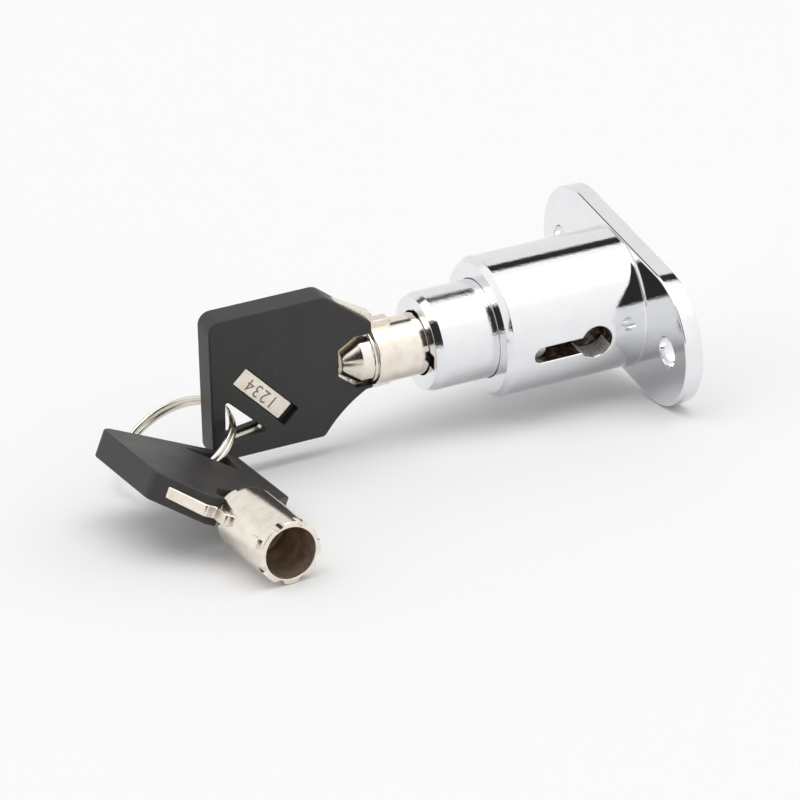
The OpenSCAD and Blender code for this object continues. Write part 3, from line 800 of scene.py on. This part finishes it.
# %% Key tube: turned profile
TUBE_R, TUBE_BORE, BORE_END_Y = 4.8, 3.95, -10.0
STEP_R, NECK_R, CONE_R = 4.1, 3.8, 1.95
SHOULDER_Y, STEP_Y, NECK_Y, CONE_END_Y = -14.0, -14.4, -16.2, -18.9
AXIS_R = 0.02  # profiles end this near the axis, where the mesh is open but can't be seen into

tube = Shape()
tube_profile = rounded(
    [
        (AXIS_R, BORE_END_Y, 0),
        (TUBE_BORE, BORE_END_Y, 0.2),
        (TUBE_BORE, 0, 0.08),
        (TUBE_R, 0, 0.18),
        (TUBE_R, SHOULDER_Y, 0.3),
        (STEP_R, SHOULDER_Y, 0.12),
        (STEP_R, STEP_Y, 0.15),
        (NECK_R, STEP_Y, 0.12),
        (NECK_R, NECK_Y, 0.35),
        (CONE_R, CONE_END_Y, 0.25),
        (AXIS_R, CONE_END_Y, 0),
    ],
    steps=4,
    closed=False,
)
tube.strips(tube.turn(tube_profile, 144))
tube_mesh = tube.mesh("key_tube")
print("tube faces before the cuts", len(tube_mesh.polygons))

# %% [markdown]
# Each of the seven cuts is milled by a round cutter held along the key, one depth for each tumbler. Seven fit with 45
# degrees between them, as the eighth place is the lug's. The depths are made up.

# %% Key tube: cuts and dirty bore
DEPTHS = [1, 3, 0, 2, 3, 1, 2]
SHALLOWEST, DEPTH_STEP = 0.8, 0.25
CUT_PLACE_R, CUT_R, CUT_ANGLE = 5.05, 0.9, 45
NICKEL_FACE, DIRTY_FACE = 0, 1

cut_tools = []
for i, code in enumerate(DEPTHS):
    t = math.radians(90 + CUT_ANGLE * (i + 1))
    depth = SHALLOWEST + DEPTH_STEP * code
    start = (CUT_PLACE_R * math.cos(t), -depth, CUT_PLACE_R * math.sin(t))
    cut_tools.append(rod_mesh(start, (0, 1, 0), 2, CUT_R))
tube_mesh = carve(tube_mesh, cut_tools)
tube_mesh.materials.clear()
tube_mesh.materials.append(key_nickel)
tube_mesh.materials.append(dirty_bore)
for face in tube_mesh.polygons:
    middle = face.center / MM
    in_tube = math.hypot(middle.x, middle.z) < TUBE_BORE + 0.01 and BORE_END_Y - 0.1 < middle.y < -0.1
    face.material_index = DIRTY_FACE if in_tube else NICKEL_FACE
print("dirty faces", sum(face.material_index == DIRTY_FACE for face in tube_mesh.polygons))

# %% [markdown]
# A lug on the tube's outside enters the notch in the plunger's lip, and a rib inside it keys onto the core's post.
# Both are blocks with soft edges. They could be joined to the tube, but as pieces of their own they stay crisp.

# %% Key tube: lug and rib


def rounded_block(shape, low, high, radius):
    """A block with rounded long edges, its top toward +X in the key's frame."""
    (x0, y0, z0), (x1, y1, z1) = low, high
    flat = rounded([(y0, z0, radius), (y1, z0, radius), (y1, z1, radius), (y0, z1, radius)], 3)
    steps = [(x0, 0.0), (x1 - radius, 0.0), (x1 - radius * 0.3, -radius * 0.3), (x1, -radius)]
    loops = []
    for x, grow in steps:
        loops.append(shape.loop([(x, p.x, p.y) for p in grown(flat, grow)]))
    shape.strips(loops)
    shape.faces += [tuple(loops[0]), tuple(loops[-1])]


lug = Shape()
rounded_block(lug, (4.2, -3.3, -0.8), (5.25, -1.3, 0.8), 0.1)
for p in lug.points:
    p.x, p.z = -p.z, p.x
rib = Shape()
rounded_block(rib, (-4.1, -2.4, -0.5), (-3.35, -1.2, 0.5), 0.08)
for p in rib.points:
    p.x, p.z = p.z, -p.x
lug_mesh = lug.mesh("key_lug")
rib_mesh = rib.mesh("key_rib")
print("lug and rib faces", len(lug_mesh.polygons), len(rib_mesh.polygons))

# %% [markdown]
# The plate is one pressed strip of metal. It shows beside the tube as two prongs, in the number window as a raised
# field, round the ring's hole as a bright band, and in the bow's tail slot as a thin edge.
# The rest of it lies inside the plastic, so only those parts are made. Outlines are (y, height) in the key's frame.

# %% Key plate: prongs
PLATE_N = 0.9  # half of the plate's thickness
PLATE_EDGE = 0.22
FRONT = 14.05  # from the key's tip to the bow's front
PRONG_Y = -10.3


def plate_side(outline, edge, n_face, shape):
    """A pressed plate: an outline with softly rounded edges on both faces."""
    loops = []
    for side in (-1, 1):
        for out, deep in quarter(3)[::-side]:
            loops.append((grown(outline, -edge * out), side * (n_face - edge * deep)))
    made = [shape.loop([(n, p.x, p.y) for p in ring]) for ring, n in loops]
    shape.strips(made)
    for ring, n in (loops[0], loops[-1]):
        shape.fill(ring, [], lambda p, n=n: Vector((n, p.x, p.y)))


def behind(*entries):
    """Outline entries given as distance behind the bow's front, height and corner radius."""
    return [(-FRONT - back, v, radius) for back, v, radius in entries]


prong_up = rounded(
    [
        (PRONG_Y, 2.8, 0.3),
        (PRONG_Y, 5.85, 0.8),
        *behind((-0.6, 5.85, 0.3), (-0.6, 7.3, 0.6), (5.4, 10.8, 0.5), (6.6, 10.4, 0.4)),
        *behind((5.8, 8.2, 0.5), (1.0, 5.2, 0.3), (1.0, 2.8, 0.3)),
    ],
    4,
)
prong_low = rounded(
    [
        (PRONG_Y, -2.8, 0.3),
        (PRONG_Y, -5.4, 0.8),
        *behind((0.6, -5.4, 0.3), (1.6, -5.1, 0.3), (1.6, -2.8, 0.3)),
    ],
    4,
)
plate = Shape()
plate_side(prong_up, PLATE_EDGE, PLATE_N, plate)
plate_side(prong_low, PLATE_EDGE, PLATE_N, plate)
print("faces of the prongs", len(plate.faces))

# %% Key plate: number field
WINDOW_MID = Vector((-FRONT - 17.7, -1.8))
WINDOW_LEN, WINDOW_W = 12.0, 3.35
WINDOW_TURN = math.radians(-47)
FIELD_LEN, FIELD_N = 10.8, 1.5
FIELD_GAP = 0.18  # between the field and the window's sides
FIELD_SHIFT = -(WINDOW_LEN - FIELD_LEN) / 2 + 0.1  # the field stands nearer one end of the window


def along_window(u, v):
    """A point given along and across the number window, in the key's flat frame (y, height)."""
    c, s = math.cos(WINDOW_TURN), math.sin(WINDOW_TURN)
    return WINDOW_MID + Vector((u * c - v * s, u * s + v * c))


def window_outline(length, width, radius, shift=0.0):
    """A rounded oblong that lies along the number window."""
    flat = rounded(
        [
            (shift - length / 2, -width / 2, radius),
            (shift + length / 2, -width / 2, radius),
            (shift + length / 2, width / 2, radius),
            (shift - length / 2, width / 2, radius),
        ],
        4,
    )
    return [along_window(p.x, p.y) for p in flat]


field_line = window_outline(FIELD_LEN, WINDOW_W - FIELD_GAP, 0.3, FIELD_SHIFT)
field_steps = ((0.0, 0.6), (0.0, FIELD_N - 0.15), (-0.045, FIELD_N - 0.045), (-0.15, FIELD_N))
field_loops = [(grown(field_line, grow), n) for grow, n in field_steps]
plate.strips([plate.loop([(n, p.x, p.y) for p in ring]) for ring, n in field_loops])
for ring, n in (field_loops[0], field_loops[-1]):
    plate.fill(ring, [], lambda p, n=n: Vector((n, p.x, p.y)))
print("faces with the field", len(plate.faces))

# %% Key plate: ring hole and tail
triangle = rounded(behind((24.2, -0.9, 0.35), (17.5, -7.5, 0.45), (24.4, -8.5, 0.5)), 5)
band_steps = [(0.7, PLATE_N), (0.38, PLATE_N), (0.3, PLATE_N - 0.1)]
band_steps = [(grow, -n) for grow, n in band_steps] + band_steps[::-1]
bands = [plate.loop([(n, p.x, p.y) for p in grown(triangle, grow)]) for grow, n in band_steps]
plate.strips([*bands, bands[0]])
TAIL = behind((2.6, -4.05, 0.3), (5.6, -1.7, 0.4), (5.6, 2.9, 0.4), (2.8, 4.6, 0.4))
slot_line = rounded([*behind((0.3, -4.05, 0), (0.6, -4.05, 0)), *TAIL, *behind((0.6, 4.6, 0), (0.3, 4.6, 0))], 6)
edge_band = grown(slot_line, 0.3)[1:-1] + grown(slot_line, -0.03)[-2:0:-1]
plate_side(edge_band, 0.02, PLATE_N, plate)
plate_mesh = plate.mesh("key_plate")
print("plate faces", len(plate_mesh.polygons))

# %% [markdown]
# The bow is a plastic moulding with a soft edge all round. A solidified flat face with a bevel would be quicker, but
# the edge isn't equally soft everywhere, so every point of the outline has a corner radius and an edge radius.
# Each face is that outline drawn in by the edge radius, with holes for the ring and the number window.

# %% Key bow: outline
BOW_N = 2.15  # half of the bow's thickness
BOW_FRONT, BOW_BACK, BOW_TOP, BOW_FOOT = -FRONT, -FRONT - 26.5, 12.5, -11.0
SCOOP_R, SCOOP_Y, SCOOP_V = 19.8, 8.25 - FRONT, -22.2  # the hollow at the bow's lower front


def bow_points():
    """The bow's outline as (point, edge radius) pairs."""
    turns = [math.radians(a) for a in range(144, 117, -2)]
    arc = [(SCOOP_Y + SCOOP_R * math.cos(t), SCOOP_V + SCOOP_R * math.sin(t), 0, 0.25) for t in turns]
    entries = [
        (BOW_FRONT, 6.4, 0.5, 0.3),
        (BOW_FRONT - 7.6, BOW_TOP, 2.2, 0.3),
        (BOW_BACK, BOW_TOP, 2.0, 0.3),
        (BOW_BACK, BOW_FOOT, 2.0, 0.3),
        (BOW_FRONT - 8.2, BOW_FOOT, 0.8, 0.3),
        *arc,
        (BOW_FRONT, -4.55, 0.2, 0.15),
        (BOW_FRONT, -4.05, 0.12, 0.12),
        *[(*entry, 0.15) for entry in TAIL],
        (BOW_FRONT, 4.6, 0.16, 0.15),
    ]
    points, edges = [], []
    for i, (y, v, radius, edge) in enumerate(entries):
        a, b = entries[i - 1], entries[(i + 1) % len(entries)]
        made = corner(a[:2], (y, v), b[:2], radius, 7)
        points += made
        edges += [edge] * len(made)
    return points, edges


def dense(points, edges, gap=1.2):
    """More points on long straight stretches, with their edge radii blended."""
    out, sizes = [], []
    for i, p in enumerate(points):
        q, a, b = points[(i + 1) % len(points)], edges[i], edges[(i + 1) % len(points)]
        count = max(1, int((q - p).length / gap))
        for k in range(count):
            out.append(p.lerp(q, k / count))
            sizes.append(a + (b - a) * k / count)
    return out, sizes


bow_line, bow_edges = dense(*bow_points())
bow = Shape()
outlines, rings = [], []
for side in (-1, 1):
    for out, deep in quarter(6)[::-side]:
        ring = grown(bow_line, [-size * out for size in bow_edges])
        height = [side * (BOW_N - size * deep) for size in bow_edges]
        outlines.append(ring)
        rings.append(bow.loop([(n, p.x, p.y) for p, n in zip(ring, height)]))
bow.strips(rings)
back_line, front_line = outlines[0], outlines[-1]
print("points in the bow's outline", len(bow_line))

# %% Key bow: faces and holes
LIP = 0.14  # the rounding at the mouth of a hole in the plastic
WINDOW_FLOOR = 0.95


def hole_wall(shape, outline, n_from, n_to):
    """The wall of a hole from one face inward, with a small rounding at its mouth."""
    way = 1 if n_to > n_from else -1
    loops = [(LIP * out, n_from + way * LIP * deep) for out, deep in quarter(3)]
    loops.append((0.0, n_to))
    shape.strips([shape.loop([(n, p.x, p.y) for p in grown(outline, grow)]) for grow, n in loops])


window = window_outline(WINDOW_LEN, WINDOW_W, 0.2)
hole_wall(bow, triangle, BOW_N, PLATE_N)
hole_wall(bow, triangle, -BOW_N, -PLATE_N)
hole_wall(bow, window, BOW_N, WINDOW_FLOOR)
bow.fill(front_line, [grown(triangle, LIP), grown(window, LIP)], lambda p: Vector((BOW_N, p.x, p.y)))
bow.fill(back_line, [grown(triangle, LIP)], lambda p: Vector((-BOW_N, p.x, p.y)))
for n in (-PLATE_N, PLATE_N):
    bow.fill(grown(triangle, 0.6), [triangle], lambda p, n=n: Vector((n, p.x, p.y)))
bow.fill(window, [], lambda p: Vector((WINDOW_FLOOR, p.x, p.y)))
bow_mesh = bow.mesh("key_bow")
print("bow faces", len(bow_mesh.polygons))

# %% [markdown]
# Each key has a number etched into the bright field. It could be a mask in the field's finish, but letters of real
# geometry stay sharp close up, so a plain made-up count is drawn with Blender's own letters, a hair above the metal.

# %% Number on the field
LETTER_SIZE, LETTER_DEPTH, LETTER_GAP = 2.9, 0.012, 0.003

letters = bpy.data.curves.new("number", "FONT")
letters.body = "1234"
letters.align_x = "CENTER"
letters.align_y = "CENTER"
letters.size = LETTER_SIZE * MM
letters.extrude = LETTER_DEPTH * MM
letters.space_character = 1.15
text = bpy.data.objects.new("number", letters)
bpy.context.scene.collection.objects.link(text)
bpy.context.view_layer.update()
number_mesh = bpy.data.meshes.new_from_object(text.evaluated_get(bpy.context.evaluated_depsgraph_get()))
bpy.data.objects.remove(text)
middle = along_window(FIELD_SHIFT, 0.0)
run = -Vector((0, math.cos(WINDOW_TURN), math.sin(WINDOW_TURN)))
facing_out = Vector((1, 0, 0))
rise = facing_out.cross(run)
upright = Matrix((run, rise, facing_out)).transposed().to_4x4()
number_mesh.transform(Matrix.Translation(Vector((FIELD_N + LETTER_GAP, middle.x, middle.y)) * MM) @ upright)
print("number faces", len(number_mesh.polygons))

# %% [markdown]
# One key stands in the lock, leaning by 6 degrees, and the other hangs on the ring and lies on the table.
# Both could be placed by dragging. Their shift and turns are the CAD source's own here, so that the pieces cover the
# solids, and each piece rides on its key's body.

# %% Put both keys in place
key_places = {
    "a": ("key_a", Matrix.Translation(Vector((0, -27.9, 0)) * MM) @ Matrix.Rotation(math.radians(-6), 4, "Y")),
    "b": (
        "key_b",
        Matrix.Translation(Vector((44.1, -74.68, 1.4)) * MM)
        @ Matrix.Rotation(math.radians(-66.6), 4, "Z")
        @ Matrix.Rotation(math.radians(62.2), 4, "Y")
        @ Matrix.Rotation(math.radians(23.2), 4, "X"),
    ),
}
for letter, (body, matrix) in key_places.items():
    start = f"key_{letter}_"
    show(start + "tube_skin", tube_mesh, key_nickel, body, [start + "tube"], matrix, 32)
    show(start + "lug", lug_mesh, key_nickel, body, (), matrix)
    show(start + "rib", rib_mesh, key_nickel, body, (), matrix)
    show(start + "plate_skin", plate_mesh, plate_nickel, body, [start + "plate"], matrix)
    show(start + "bow_skin", bow_mesh, bow_plastic, body, [start + "bow"], matrix, 50)
    show(start + "number", number_mesh, etched_mark, body, (), matrix)
print("keys", list(key_places))

# %% [markdown]
# ## Split ring
# The ring is one flattened wire wound twice. The two turns lie side by side, and a short jog leads from one to the
# other. Two tori would be quicker, but the jog and the wire's two ends tell a split ring from a pair of rings, so the
# wire's section is swept along its whole run.

# %% Split ring
RING_R, RING_PITCH = 9.0, 0.95
WIRE_HALF_U, WIRE_HALF_W = 0.3, 0.42  # half of the flattened wire's section, outward and sideways
FLATNESS = 0.7  # below 1, the round section gets flatter sides
RING_STEPS, SECTION_STEPS = 300, 16
END_GAP, JOG, RING_START = 12, 24, 290  # degrees: each end's gap, the jog's length, and where the winding starts
END_SIZES = (0.55, 0.8, 0.93, 0.98)  # the wire's ends are ground round
RING_FRAME = (
    Matrix.Translation(Vector((-0.86, -72.52, -8.5)))
    @ Matrix.Rotation(math.radians(-3.9), 4, "Y")
    @ Matrix.Rotation(math.radians(25.5), 4, "X")
)
ring_shape = Shape()
ring_loops = []
for i in range(RING_STEPS + 1):
    a = END_GAP + (720 - 2 * END_GAP) * i / RING_STEPS
    t = min(1.0, max(0.0, (a - (360 - JOG / 2)) / JOG))
    side = RING_PITCH * (t * t * (3 - 2 * t) - 0.5)
    b = math.radians(a + RING_START)
    end = min(i, RING_STEPS - i)
    size = END_SIZES[end] if end < len(END_SIZES) else 1.0
    points = []
    for k in range(SECTION_STEPS):
        c = 2 * math.pi * k / SECTION_STEPS
        wide, thick = abs(math.cos(c)) ** FLATNESS, abs(math.sin(c)) ** FLATNESS
        u = math.copysign(WIRE_HALF_U * wide * size, math.cos(c))
        w = math.copysign(WIRE_HALF_W * thick * size, math.sin(c))
        points.append(RING_FRAME @ Vector(((RING_R + u) * math.cos(b), (RING_R + u) * math.sin(b), side + w)))
    ring_loops.append(ring_shape.loop(points))
ring_shape.strips(ring_loops)
ring_shape.faces += [tuple(ring_loops[0]), tuple(ring_loops[-1])]
ring_mesh = ring_shape.mesh("split_ring_wire")
show("split_ring_wire", ring_mesh, ring_nickel, "ring", ["split_ring"], weighted=False)
print("ring faces", len(ring_mesh.polygons))

# %% [markdown]
# ## Return spring
# The return spring is a wire coil in a channel along the plunger's side, held at its back end by the stop pin.
# It could be a curve with a bevel, but a helix of loops gives its section and its ends exactly.

# %% Return spring
COIL_R, WIRE_R, COIL_Y0, COIL_Y1 = 1.25, 0.2, -17.08, -4.0
COIL_TURNS, TURN_STEPS, WIRE_SIDES = 9, 24, 10
coil = Shape()
coil_loops = []
slope = math.atan2((COIL_Y1 - COIL_Y0) / COIL_TURNS, 2 * math.pi * COIL_R)
for i in range(TURN_STEPS * COIL_TURNS + 1):
    t, a = i / (TURN_STEPS * COIL_TURNS), math.radians(360 / TURN_STEPS * i)
    out = Vector((math.cos(a), 0, math.sin(a)))
    up = Vector((math.sin(a) * math.sin(slope), math.cos(slope), -math.cos(a) * math.sin(slope)))
    middle = Vector((0, COIL_Y0 + (COIL_Y1 - COIL_Y0) * t, SPRING_Z)) + out * COIL_R
    turns = [math.radians(360 / WIRE_SIDES * k) for k in range(WIRE_SIDES)]
    coil_loops.append(coil.loop([middle + WIRE_R * (math.cos(b) * out + math.sin(b) * up) for b in turns]))
coil.strips(coil_loops)
coil.faces += [tuple(coil_loops[0]), tuple(coil_loops[-1])]
coil_mesh = coil.mesh("return_spring_wire")
wire = show("return_spring_wire", coil_mesh, turned_steel, "housing", ["return_spring"])
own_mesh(wire)
print("coil loops", len(coil_loops))

# %% [markdown]
# ## The works inside
# The bolt, pins, core and small springs keep their CAD solids, which show through the slot, the mouth and the back.
# Finer meshes could replace them too, but so little of them is seen that plain turned steel and brass are enough.

# %% Finishes of the CAD solids
node_finish = {
    "stop_pin": turned_steel,
    "bolt": turned_steel,
    "bolt_pin": turned_steel,
    "locking_pin": pin_steel,
    "locking_pin_spring": turned_steel,
    "stator": turned_brass,
    "stator_pin": turned_steel,
    "driver_pins": turned_brass,
    "pin_springs": turned_steel,
    "rotor": smooth_chrome,
    "key_pins": turned_brass,
    "cam": turned_steel,
}
for name, material in node_finish.items():
    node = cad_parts[name]
    node.data.materials.clear()
    node.data.materials.append(material)
print("CAD solids with a finish", len(node_finish))

# %% [markdown]
# ## Floor, light and camera
# The lock leans on its flange's end and on the loose key, so the floor is a sheet of pale paper that touches those.
# It could be lit more to look white, but that would burn out the chrome, so the paper glows a little by itself.

# %% Floor
PAPER_SIZE, PAPER_GLOW = 2600.0, 0.06
FLOOR_UP = Vector((-0.2608, -0.005, 1.0)).normalized()
floor_shape = Shape()
tilt = Vector((0, 0, 1)).rotation_difference(FLOOR_UP)
square = [Vector((x * PAPER_SIZE, y * PAPER_SIZE, 0)) for x, y in ((-1, -1), (1, -1), (1, 1), (-1, 1))]
base = Vector((0, 0, -14.7))
corners = floor_shape.loop([base + tilt @ p for p in square])
floor_shape.faces.append(tuple(corners))
floor_mesh = floor_shape.mesh("floor")
floor = bpy.data.objects.new("floor", floor_mesh)
bpy.context.scene.collection.objects.link(floor)
paper = Finish(bpy.data.materials.new("paper"))
floor_mesh.materials.append(
    paper.surface(
        Base_Color=rgb(0.725, 0.726, 0.735),
        Roughness=0.7,
        Specular_IOR_Level=0.2,
        Emission_Color=rgb(1, 1, 1),
        Emission_Strength=PAPER_GLOW,
    )
)
print("the floor's tilt in degrees", round(math.degrees(FLOOR_UP.angle(Vector((0, 0, 1)))), 1))

# %% [markdown]
# The photograph was taken in a white light tent, with a large lamp above and beside the lock, and dark gaps round the
# lens and between the walls and the roof. Chrome shows that room more than itself.
# Lamps and cards could be set up as in a studio. A sky of soft zones is simpler: it has no distance, so each zone is
# only a range of directions, measured from the floor's own upright and from the way to the camera.

# %% Room: directions
world = bpy.data.worlds.new("tent")
bpy.context.scene.world = world
sky = Finish(world)
look = sky.node("ShaderNodeTexCoord", out="Generated")
TO_CAMERA = Vector((0.74386, -0.37356, 0.55419))
front = (TO_CAMERA - TO_CAMERA.dot(FLOOR_UP) * FLOOR_UP).normalized()
left = FLOOR_UP.cross(front)


def facing(axis):
    """How far a direction of the sky points along an axis, from -1 to 1."""
    return sky.node("ShaderNodeVectorMath", {"operation": "DOT_PRODUCT"}, {0: look, 1: axis[:]}, out="Value")


height, ahead, beside = facing(FLOOR_UP), facing(front), facing(left)
azimuth = beside.math("ARCTAN2", ahead) * (180 / math.pi)
elevation = height.math("ARCSINE") * (180 / math.pi)
print("the way to the camera along the floor", [round(part, 3) for part in front])

# %% [markdown]
# Each zone is a mask, 1 inside it and 0 outside, with a soft edge a degree or two wide: half of the chrome's dark
# reflections are the gaps between the zones. Angles are in degrees, and azimuth 0 is the camera's side.

# %% Room: zones of light
BACK_LEVEL, SIDE_LEVEL, DARK_LEVEL = 0.86, 0.93, 0.03
ROOF_REAR, ROOF_FRONT = 1.1, 1.6
SIDE_RISE, LAMP_RISE, LAMP_LEVEL = 0.12, 0.6, 0.05
WARMTH = (1.0, 0.995, 0.985)

rear = azimuth.math("ABSOLUTE").step(118, 130)
sweep = 1 - elevation.step(47, 48.5)
roof = elevation.step(59, 60.5)
lens_gap = azimuth.band(-33, 16, 2) * elevation.band(-5, 56, 1.5)
lamp_side = azimuth.band(20, 120, 4)
back_light = rear * sweep * BACK_LEVEL
lamp_light = lamp_side * (elevation.step(30, 62) * LAMP_RISE + LAMP_LEVEL)
side_light = (1 - rear) * (1 - lens_gap) * (elevation.step(-5, 45) * SIDE_RISE + SIDE_LEVEL + lamp_light)
total = back_light + side_light + roof * (ROOF_REAR * rear + ROOF_FRONT * (1 - rear)) + DARK_LEVEL
channels = {place: total * share for place, share in enumerate(WARMTH)}
paint = sky.node("ShaderNodeCombineColor", None, channels)
shine = sky.node("ShaderNodeBackground", None, {"Color": paint, "Strength": 1.0})
sky.node("ShaderNodeOutputWorld", None, {"Surface": shine})
print("sky nodes", len(sky.tree.nodes))

# %% [markdown]
# The camera stands where the photograph's camera stood, found by fitting the flange, the barrel and the keys.
# Its turn could be set as three angles. Three axes are used, as the room above needs the way to the camera too.

# %% Camera
camera_data = bpy.data.cameras.new("camera")
camera_data.lens, camera_data.sensor_width = 225, 36
camera_data.clip_end = 20
camera = bpy.data.objects.new("camera", camera_data)
bpy.context.scene.collection.objects.link(camera)
CAMERA_SIDE = Vector((0.433229, 0.900915, 0.025774))
CAMERA_RISE = Vector((-0.508909, 0.220921, 0.831989))
CAMERA_PLACE = Vector((565.6, -320.1, 411.6))
axes = Matrix((CAMERA_SIDE, CAMERA_RISE, TO_CAMERA)).transposed().to_4x4()
camera.matrix_world = Matrix.Translation(CAMERA_PLACE * MM) @ axes
bpy.context.scene.camera = camera
bpy.context.scene.view_settings.view_transform = "Standard"
print("camera's distance from the lock in mm", round(CAMERA_PLACE.length))
